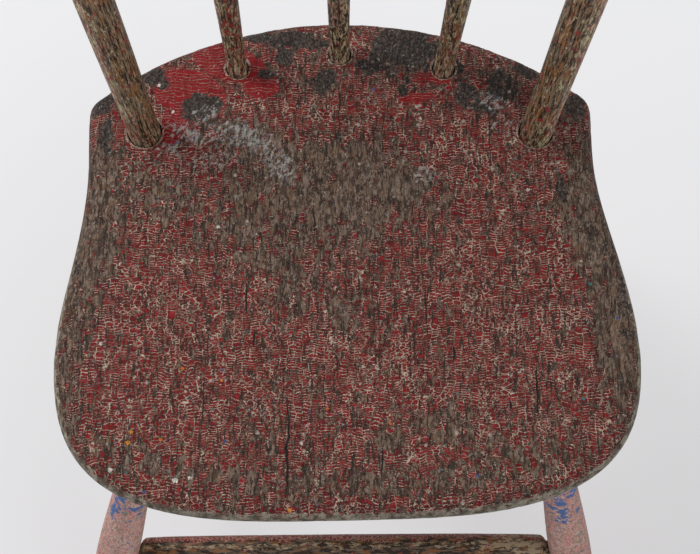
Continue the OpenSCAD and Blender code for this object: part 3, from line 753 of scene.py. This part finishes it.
def seat_paint(feet):
    """Crazed red paint over dark and bare layers, worn through in patches."""
    material, shader, place = new_material("seat_paint")
    strip = rise(kept_number(place, "solid_red"), 0.45, 0.6)
    worn, wood_height = flaked_wood(place)
    paint, island_height, faded = crazed_paint(place, strip)
    patch = ragged(place, kept_number(place, "red_left"), size=6.5, stretch=1.8, spread=3.4, soft=0.05,
        rough=0.72)
    surface = laid_over(patch["Mask"], worn, paint)
    # painted shade: a dark line along the rim of each paint patch, below the paint's edge
    surface = laid_over(patch["Rim"] * 0.55, surface, tone(50, 39, 33))

    slivers = ragged(place, 0.22, size=1.8, stretch=6.0, spread=3.4, soft=0.05)
    sliver = slivers["Mask"] * between(strip, 0.9, 0.1)
    surface = laid_over(sliver, surface, tone(50, 40, 34))

    chips = ragged(place, kept_number(place, "dark_chip"), size=13.0, stretch=1.1, spread=3.4, soft=0.03,
        rough=0.72)
    speckle = ragged(place, 0.46, size=1.8, stretch=1.4, spread=2.8, soft=0.12)
    charcoal = laid_over(speckle["Mask"], tone(40, 34, 31), tone(78, 66, 59))
    surface = laid_over(chips["Mask"], surface, charcoal)
    surface = laid_over(chips["Rim"] * 0.5, surface, tone(140, 120, 108))

    slanted = place_in(place.tree, "VectorRotate", {"Vector": place, "Angle": math.radians(-38)},
        rotation_type="Y_AXIS")[0]
    chalk = ragged(slanted, kept_number(place, "chalk"), size=2.6, stretch=1.7, spread=3.6, soft=0.16,
        rough=0.74)
    blue_share = ragged(slanted, 0.14, size=2.8, stretch=1.4, spread=3.2, soft=0.08)
    chalk_tone = laid_over(blue_share["Mask"], tone(166, 162, 156), tone(62, 86, 136))
    surface = laid_over(chalk["Mask"] * 0.75, surface, chalk_tone)

    grain = use(GRAIN, Place=place, Fine=2.2, Length=13.0, Band=10.0)
    surface = laid_over(grain["Check"] * 0.85, surface, tone(46, 36, 31))
    curve = place_in(place.tree, "TexNoise", {"Vector": stretched(place, 60.0, 14.0), "Scale": 1.0,
        "Detail": 4.0})
    bend = (curve[0] - 0.5) * 5.0
    check_mask = None
    for at, low, high, width in LONG_CHECKS:
        line = use(LONG_CHECK, Place=place, Bend=bend, At=at, From=low, To=high, Width=width)["Mask"]
        check_mask = line if check_mask is None else calc("MAXIMUM", check_mask, line)
    surface = laid_over(check_mask, surface, tone(34, 27, 24))
    surface = seat_specks(place, surface)
    surface = foot_rings_and_gap_shade(place, surface, feet)

    edge = ragged(place, kept_number(place, "rubbed_edge"), size=4.0, stretch=1.0, spread=2.6, soft=0.12)
    edge_tone = laid_over(faded, tone(100, 96, 82), tone(170, 162, 144))
    surface = laid_over(edge["Mask"] * 0.75, surface, edge_tone)

    under = rise(kept_number(place, "underside"), 0.4, 0.6)
    plank, plank_height = aged_wood(place, tone(84, 62, 45), tone(112, 85, 62), tone(140, 112, 85),
        fine=1.6, length=60.0)
    surface = laid_over(under, surface, plank)

    soiled = ragged(place, 0.5, size=3.0, stretch=1.5, spread=1.5, soft=0.3)
    roughness = between(soiled["Mask"], 0.46, 0.7)
    roughness = between(patch["Mask"], roughness + 0.12, roughness)
    painted = patch["Mask"] * (1.0 - chips["Mask"])
    relief = painted * (0.4 + island_height * 0.35) + wood_height * 0.5 + speckle["Mask"] * 0.12
    relief = relief - grain["Check"] * 0.5 - sliver * 0.5 - check_mask * 1.0
    relief = between(under, relief, plank_height)
    finish_surface(shader, surface, roughness, relief, 1.1)
    return material


def foot_of(node):
    """Where a leaning turned piece stands on the seat: across, along and its radius."""
    points, surface = surface_of(node)
    start, axis, _ = turning_axis(points, surface)
    foot = start + axis * (SEAT_TOP - start[2]) / axis[2]
    side = crossways(axis)[0]
    return foot[0], foot[1], skin_radius(surface, foot + 6 * axis, side)


def make_seat():
    """The plank with its worn top, chips, rubbed edge and rough underside."""
    feet = [foot_of(name) for name in ("post_left", "post_right", "rod_left", "rod_middle", "rod_right")]
    fine = remeshed("seat_plank", SEAT_SQUARES)
    points, normals, edges = mesh_arrays(fine)
    points = even_out(points, edges, 2)
    x, y, z = points.T
    on_top = ease(z, SEAT_TOP - 14, SEAT_TOP - 6) * ease(normals[:, 2], 0.0, 0.5)
    below = ease(-normals[:, 2], 0.35, 0.85)

    solid = patches(x, y, SOLID_RED)
    more = patches(x, y, MORE_RED)
    less = patches(x, y, WORN_THROUGH)
    ground = np.column_stack([x, z, y])
    drift = wander(ground, [45, 45, 70], 3, 3)
    red_left = 0.72 + 0.18 * more - 0.56 * less + 0.2 * drift
    red_left = np.maximum(red_left, ease(solid, 0.3, 0.7) * 1.4)
    red_left = red_left * (0.35 + 0.65 * on_top)
    roll = (1 - ease(normals[:, 2], 0.5, 0.93)) * (1 - below)
    dark = np.maximum(patches(x, y, DARK_CHIPS) * 0.92, 0.56 * roll * ease(y, 70, 125))
    chalk = patches(x, y, CHALK) * on_top * 0.52
    edge_band = (1 - on_top) * (1 - below)

    furrows = 0.14 * np.clip(wander(ground, [3.5, 8, 55], 11, 3), -1, 1) * on_top
    swells = 0.3 * wander(ground, [40, 30, 60], 21, 2) * on_top
    chip = 0.4 * ease(dark + 0.45 * wander(ground, [9, 9, 9], 31, 3), 0.42, 0.58)
    nibbles = 0.9 * ease(wander(ground, [16, 9, 16], 41, 3), 0.3, 0.75) * edge_band
    gouge = 0.5 * below * (0.5 + 0.5 * wander(ground, [22, 20, 160], 51, 3))
    loss = np.maximum(furrows + swells + 0.35 * on_top, 0) + chip + nibbles + gouge
    points = points - normals * loss[:, None]
    points = np.clip(points, SEAT_LOW + SEAT_MARGIN, SEAT_HIGH - SEAT_MARGIN)

    seat = new_piece("seat_plank_worn", points, faces_of(fine), "seat_plank",
        seat_paint(feet))
    keep_place(seat, ground)
    keep_number(seat, "red_left", red_left)
    keep_number(seat, "solid_red", solid * on_top)
    keep_number(seat, "broad_cracks", 0.4 + 0.2 * ease(-x, 60, 130) + 0.15 * ease(y, 60, 120))
    keep_number(seat, "dark_chip", dark)
    keep_number(seat, "chalk", chalk)
    keep_number(seat, "rubbed_edge", roll * ease(-y, -60, 60) * 0.75)
    keep_number(seat, "underside", below)
    bpy.data.meshes.remove(fine)


# ---- Posts and rods ----

def worn_rods():
    """Brown wood, worn smooth, with dark streaks and flecks of old paint."""
    material, shader, place = new_material("worn_rods", 0.3)
    wood, wood_height = aged_wood(place, tone(62, 45, 33), tone(122, 94, 68), tone(186, 164, 134),
        fine=0.8, length=9.0)
    surface = dappled(place, wood, tone(156, 98, 46), 0.65, 0.42, size=4.0, stretch=4.0, spread=2.8,
        soft=0.12)
    dark = ragged(place, kept_number(place, "dark_left"), size=1.6, stretch=9.0, spread=3.5, soft=0.05,
        rough=0.7)
    surface = laid_over(dark["Mask"] * 0.92, surface, tone(36, 28, 23))
    paint = ragged(place, kept_number(place, "paint_left"), size=2.2, stretch=3.4, spread=3.6, soft=0.06,
        rough=0.76)
    kinds = ragged(place, 0.5, size=9.0, stretch=2.0, spread=2.0, soft=0.2)
    coat = laid_over(kinds["Mask"], tone(218, 206, 160), tone(206, 158, 142))
    surface = laid_over(paint["Mask"] * 0.84, surface, coat)
    surface = dappled(place, surface, tone(162, 56, 54), 0.95, kept_number(place, "red_left"), size=4.4,
        stretch=1.8, spread=2.8, soft=0.05)
    specks = use(FLECKS, Place=place, Spacing=5.0, Size=0.9, Share=0.45)
    speck = laid_over(rise(specks["Kind"], 0.6, 0.62), tone(214, 202, 172), tone(52, 68, 104))
    surface = laid_over(specks["Mask"] * 0.8, surface, speck)
    roughness = between(dark["Mask"], 0.55, 0.42)
    relief = wood_height + paint["Mask"] * 0.4 - dark["Mask"] * 0.4
    finish_surface(shader, surface, roughness, relief, 1.2)
    return material


def make_posts_and_rods():
    """Two posts with old paint on their outer sides, and three rods, the left one the reddest."""
    material = worn_rods()
    for name, seed in (("post_left", 1), ("post_right", 2)):
        side = -1 if name == "post_left" else 1
        piece, skin, facing = turned_piece(name, material, step=2.0, around=72, seed=seed)
        height = skin[:, 2] - SEAT_TOP
        outer = ease(facing[:, 0] * side, -0.4, 0.7)
        foot = 1 - ease(height, 3, 16)
        rear = ease(facing[:, 1], 0, 0.8)
        # more dark streaks toward the foot, where the post meets the seat
        keep_number(piece, "dark_left", 0.38 + 0.14 * foot)
        keep_number(piece, "paint_left", 0.2 + 0.3 * outer + 0.1 * rear + 0.16 * foot)
        keep_number(piece, "red_left", 0.12 + 0.1 * outer + 0.12 * foot)
    darkness = {"rod_left": 0.52, "rod_middle": 0.6, "rod_right": 0.46}
    redness = {"rod_left": 0.34, "rod_middle": 0.1, "rod_right": 0.14}
    for seed, name in enumerate(darkness, 3):
        piece, skin, _ = turned_piece(name, material, step=2.0, around=48, seed=seed,
            out_of_round=0.2)
        height = skin[:, 2] - SEAT_TOP
        foot = 1 - ease(height, 3, 18)
        # more dark streaks toward the foot, where the rod meets the seat
        keep_number(piece, "dark_left", darkness[name] - 0.02 + 0.08 * foot)
        keep_number(piece, "paint_left", 0.4 + 0.1 * foot)
        keep_number(piece, "red_left", redness[name] * (1 - 0.5 * foot))


# ---- Back rail ----

def rail_paint():
    """The seat's paint on the bent rail, rubbed to wood along its edges."""
    material, shader, place = new_material("rail_paint")
    wood, wood_height = aged_wood(place, tone(70, 52, 40), tone(110, 84, 62), tone(144, 120, 98))
    crazed = use(CRACKLE, Place=place, Across=2.6, Along=5.2, Wander=2.4, Width=0.15)
    red = laid_over(crazed["Island"], tone(96, 16, 21), tone(126, 26, 30))
    red = dappled(place, red, tone(92, 56, 48), 0.5, 0.42, size=5.0, stretch=2.0, spread=2.8, soft=0.2)
    paint = laid_over(crazed["Crack"], red, tone(150, 126, 114))
    left = ragged(place, kept_number(place, "red_left"), size=8.0, stretch=2.4, spread=3.0, soft=0.04,
        rough=0.7)
    surface = laid_over(left["Mask"], wood, paint)
    surface = laid_over(left["Rim"] * 0.4, surface, tone(150, 128, 116))
    specks = use(FLECKS, Place=place, Spacing=9.0, Size=1.1, Share=0.3)
    surface = laid_over(specks["Mask"] * 0.8, surface, tone(170, 156, 144))
    roughness = between(left["Mask"], 0.7, 0.52)
    relief = left["Mask"] * 0.5 + (crazed["Height"] + wood_height) * 0.35
    finish_surface(shader, surface, roughness, relief, 0.5)
    return material


def make_rail():
    """The bent rail, its edges rounded by hands."""
    fine = remeshed("back_rail", RAIL_SQUARES)
    points, normals, edges = mesh_arrays(fine)
    smooth = even_out(points, edges, 4)
    corner = np.clip(((points - smooth) * normals).sum(axis=1), 0, None)
    corner = even_out(corner, edges, 3)
    rubbed = ease(corner / max(np.percentile(corner, 99), 1e-6), 0.25, 0.8)
    places = np.column_stack([smooth[:, 2], smooth[:, 1], smooth[:, 0]])
    loss = 0.25 + 0.25 * wander(places, [20, 20, 60], 61, 3) + 0.15 * wander(places, [3, 3, 40], 62, 2)
    points = smooth - normals * np.maximum(loss, 0)[:, None]
    rail = new_piece("back_rail_bent", points, faces_of(fine), "back_rail", rail_paint())
    keep_place(rail, places)
    drift = wander(places, [25, 25, 50], 63, 3)
    keep_number(rail, "red_left", 0.68 - 0.5 * rubbed + 0.22 * drift)
    bpy.data.meshes.remove(fine)


# ---- Legs ----

def leg_paint():
    """Chalky pink paint in fine wrinkles over blue, chipped to grey-brown wood."""
    material, shader, place = new_material("leg_paint")
    wood, wood_height = aged_wood(place, tone(70, 58, 50), tone(108, 88, 74), tone(140, 122, 106))
    wrinkles = use(CRACKLE, Place=place, Across=3.0, Along=1.7, Wander=2.6, Width=0.2)
    veil = ragged(place, 0.5, size=7.0, stretch=2.4, spread=3.0, soft=0.3)
    pink = laid_over(veil["Mask"], tone(204, 114, 100), tone(208, 156, 136))
    pink = dappled(place, pink, tone(166, 78, 68), 0.65, 0.46, size=1.6, stretch=1.8, spread=2.8,
        soft=0.12)
    pink = laid_over(wrinkles["Crack"] * 0.6, pink, tone(196, 184, 176))
    pink = dappled(place, pink, tone(96, 80, 72), 0.7, 0.28, size=1.4, stretch=2.2, spread=2.8, soft=0.1)
    pink = dappled(place, pink, tone(128, 130, 110), 0.8, 0.24, size=5.0, stretch=1.6, spread=3.0,
        soft=0.06)
    blue = ragged(place, kept_number(place, "blue_left"), size=8.5, stretch=1.0, spread=3.0, soft=0.05,
        rough=0.66)
    surface = laid_over(blue["Mask"], pink, tone(70, 102, 156))
    left = ragged(place, kept_number(place, "chipped"), size=4.0, stretch=1.8, spread=2.4, soft=0.04,
        rough=0.66)
    surface = laid_over(left["Mask"], surface, wood)
    surface = laid_over(left["Rim"] * 0.35, surface, tone(196, 180, 172))
    specks = use(FLECKS, Place=place, Spacing=9.0, Size=1.2, Share=0.35)
    speck = laid_over(rise(specks["Kind"], 0.5, 0.52), tone(126, 128, 108), tone(92, 44, 42))
    surface = laid_over(specks["Mask"] * 0.7, surface, speck)
    roughness = between(left["Mask"], 0.62, 0.78)
    relief = wrinkles["Height"] * 0.4 - left["Mask"] + wood_height * 0.4
    finish_surface(shader, surface, roughness, relief, 0.6)
    return material


def make_legs_and_thin_stretchers():
    """Four legs, the front ones with blue under the seat, and the side and rear stretchers."""
    material = leg_paint()
    legs = ("leg_front_left", "leg_front_right", "leg_rear_left", "leg_rear_right")
    for seed, name in enumerate(legs, 8):
        piece, skin, facing = turned_piece(name, material, step=2.4, around=60, seed=seed)
        height = skin[:, 2]
        foot = 1 - ease(height, 6, 60)
        front = "front" in name
        near_seat = ease(height, 270, 310) * (1 - ease(height, 350, 392))
        forward = ease(-facing[:, 1], -0.2, 0.6)
        keep_number(piece, "blue_left", 0.08 + (0.36 * near_seat * forward if front else 0.04))
        keep_number(piece, "chipped", 0.1 + 0.3 * foot)
    thin = ("stretcher_rear", "stretcher_left", "stretcher_right")
    for seed, name in enumerate(thin, 12):
        piece, _, facing = turned_piece(name, material, step=2.6, around=44, seed=seed,
            out_of_round=0.2)
        keep_number(piece, "blue_left", 0.1)
        keep_number(piece, "chipped", 0.2 + 0.2 * ease(facing[:, 2], 0.2, 0.9))


# ---- Front stretcher ----

def stretcher_paint():
    """Red and cream paint that feet have worn to brown and dark grey wood."""
    material, shader, place = new_material("stretcher_paint")
    wood, wood_height = aged_wood(place, tone(46, 38, 33), tone(86, 66, 51), tone(134, 114, 94), fine=1.0,
        length=12.0)
    wood = dappled(place, wood, tone(140, 88, 46), 0.7, 0.36, size=5.0, stretch=3.0, spread=3.0, soft=0.1)
    dark = ragged(place, 0.44, size=3.0, stretch=3.5, spread=3.4, soft=0.06)
    wood = laid_over(dark["Mask"] * 0.85, wood, tone(36, 30, 27))
    coat = ragged(place, kept_number(place, "red_left"), size=5.0, stretch=2.5, spread=2.8, soft=0.05,
        rough=0.68)
    shade = ragged(place, 0.5, size=6.0, stretch=3.0, spread=1.6, soft=0.25)
    red = laid_over(shade["Mask"], tone(110, 28, 30), tone(126, 58, 50))
    crazed = use(CRACKLE, Place=place, Across=4.0, Along=3.0, Wander=1.6, Width=0.1)
    red = laid_over(crazed["Crack"] * 0.8, red, tone(160, 138, 122))
    surface = laid_over(coat["Mask"], wood, red)
    cream = ragged(place, kept_number(place, "cream_left"), size=3.0, stretch=2.5, spread=3.0, soft=0.05,
        rough=0.7)
    surface = laid_over(cream["Mask"] * 0.8, surface, tone(170, 150, 122))
    specks = use(FLECKS, Place=place, Spacing=8.0, Size=1.0, Share=0.4)
    surface = laid_over(specks["Mask"] * 0.8, surface, tone(158, 138, 124))
    roughness = between(coat["Mask"], 0.6, 0.5)
    relief = wood_height + coat["Mask"] * 0.5
    finish_surface(shader, surface, roughness, relief, 0.45)
    return material


def make_front_stretcher():
    """The thick front stretcher, bare where feet rest and painted behind."""
    piece, skin, facing = turned_piece("stretcher_front", stretcher_paint(), step=2.0,
        around=64, seed=17, flat_side=True)
    behind = ease(facing[:, 1], 0.15, 0.75)
    keep_number(piece, "red_left", 0.22 + 0.5 * behind)
    band = ease(facing[:, 1], -0.25, 0.05) * (1 - ease(facing[:, 1], 0.1, 0.4))
    right_end = ease(skin[:, 0], 95, 150)
    keep_number(piece, "cream_left", 0.12 + 0.3 * band + 0.3 * right_end)


# ---- Small pieces ----

def bare_wood():
    """Unpainted wood gone grey-brown."""
    material, shader, place = new_material("bare_wood")
    wood, wood_height = aged_wood(place, tone(72, 54, 40), tone(112, 86, 62), tone(150, 124, 96),
        fine=0.8, length=8.0)
    soiled = ragged(place, 0.5, size=1.5, stretch=1.5, spread=1.6, soft=0.2)
    surface = laid_over(soiled["Mask"] * 0.4, wood, tone(64, 48, 38))
    roughness = between(soiled["Mask"], 0.6, 0.8)
    finish_surface(shader, surface, roughness, wood_height, 0.25)
    return material


def rusty_iron():
    """Dark iron under old paint and rust."""
    material, shader, place = new_material("rusty_iron")
    rust = ragged(place, 0.5, size=1.4, stretch=1.0, spread=1.8, soft=0.2)
    surface = laid_over(rust["Mask"], tone(66, 50, 42), tone(108, 70, 48))
    old = ragged(place, 0.42, size=0.9, stretch=1.0, spread=1.8, soft=0.1)
    surface = laid_over(old["Mask"] * 0.7, surface, tone(132, 96, 84))
    roughness = between(rust["Mask"], 0.5, 0.85)
    finish_surface(shader, surface, roughness, old["Mask"], 0.12)
    return material


def make_small_pieces():
    """Nails, pegs and wedges."""
    iron = rusty_iron()
    for seed, name in enumerate(("post_nail_left", "post_nail_right"), 21):
        turned_piece(name, iron, step=0.5, around=28, seed=seed, out_of_round=0.12,
            furrow=0.05)
    wood = bare_wood()
    for seed, name in enumerate(("rail_peg_left", "rail_peg_right"), 23):
        turned_piece(name, wood, step=0.7, around=32, seed=seed, out_of_round=0.1,
            furrow=0.08)
    for seed, name in enumerate(("post_wedge_left", "post_wedge_right"), 25):
        fine = remeshed(name, WEDGE_SQUARES)
        points, normals, edges = mesh_arrays(fine)
        smooth = even_out(points, edges, 2)
        loss = 0.08 + 0.06 * wander(smooth, [2, 2, 8], seed, 2)
        piece = new_piece(name + "_split", smooth - normals * loss[:, None], faces_of(fine), name,
            wood)
        keep_place(piece, smooth)
        bpy.data.meshes.remove(fine)


# ---- Studio ----

# Metres and radians; a lamp is its name, place, size and power in watts
FLOOR_RADIUS = 9
FLOOR_SIDES = 64
LAMPS = [("window_lamp", (-1.5, 0.8, 2.1), 1.0, 40.0), ("front_lamp", (0.9, -1.2, 2.4), 1.4, 20.0)]
LAMP_AIM = Vector((0, 0, 0.4))
CAMERA_DISTANCE = 1.2
CAMERA_DOWN = math.radians(68)
CAMERA_AIM_FORWARD = 0.0315


def make_floor(scene):
    """A wide pale floor that glows for the camera, with painted light a little brighter toward the back.
    """
    mesh = bpy.data.meshes.new("floor")
    turns = [2 * math.pi * k / FLOOR_SIDES for k in range(FLOOR_SIDES)]
    rim = [(FLOOR_RADIUS * math.cos(turn), FLOOR_RADIUS * math.sin(turn), 0.0) for turn in turns]
    mesh.from_pydata(rim, [], [tuple(range(FLOOR_SIDES))])
    floor = bpy.data.objects.new("floor", mesh)
    scene.collection.objects.link(floor)
    material = bpy.data.materials.new("pale_floor")
    material.use_nodes = True
    tree = material.node_tree
    tree.nodes.clear()
    place = place_in(tree, "SeparateXYZ", {0: place_in(tree, "NewGeometry")["Position"]})
    # painted light: the floor's glow for camera rays brightens toward the back
    painted_light_toward_back = rise(place[1], -0.55, 0.6)
    shade = laid_over(painted_light_toward_back, tone(220, 217, 218), tone(246, 246, 247))
    diffuse = place_in(tree, "BsdfDiffuse", {"Color": tone(226, 226, 228)})
    glow = place_in(tree, "Emission", {"Color": shade, "Strength": 1.0})
    rays = place_in(tree, "LightPath")
    seen = calc("MAXIMUM", rays["Is Camera Ray"], rays["Is Glossy Ray"])
    seen = calc("MAXIMUM", seen, rays["Is Transmission Ray"])
    mixed = place_in(tree, "MixShader", {0: seen * 0.6, 1: diffuse[0], 2: glow[0]})
    place_in(tree, "OutputMaterial", {0: mixed[0]})
    mesh.materials.append(material)


def make_lights(scene):
    """An even sky and two soft lamps overhead."""
    world = bpy.data.worlds.new("studio")
    scene.world = world
    world.use_nodes = True
    sky = world.node_tree.nodes["Background"]
    sky.inputs["Color"].default_value = (0.9, 0.92, 0.95, 1.0)
    sky.inputs["Strength"].default_value = 0.45
    for name, place, size, power in LAMPS:
        light = bpy.data.lights.new(name, "AREA")
        light.size = size
        light.energy = power
        lamp = bpy.data.objects.new(name, light)
        lamp.location = place
        lamp.rotation_euler = (LAMP_AIM - Vector(place)).to_track_quat("-Z", "Y").to_euler()
        scene.collection.objects.link(lamp)


def make_camera(scene):
    """The camera over the front of the seat, looking down on it."""
    data = bpy.data.cameras.new("camera")
    data.sensor_width = 36
    data.lens = 82.29
    data.shift_x = 0.0139
    data.clip_end = 50
    camera = bpy.data.objects.new("camera", data)
    target = Vector((0, -CAMERA_AIM_FORWARD, SEAT_TOP * MM))
    way = Vector((0, -math.cos(CAMERA_DOWN), math.sin(CAMERA_DOWN)))
    camera.location = target + CAMERA_DISTANCE * way
    camera.rotation_euler = (math.radians(90) - CAMERA_DOWN, 0, 0)
    scene.collection.objects.link(camera)
    scene.camera = camera


scene = bpy.context.scene
scene.view_settings.view_transform = "Standard"
make_seat()
make_posts_and_rods()
make_rail()
make_legs_and_thin_stretchers()
make_front_stretcher()
make_small_pieces()
make_floor(scene)
make_lights(scene)
make_camera(scene)
bpy.context.view_layer.update()
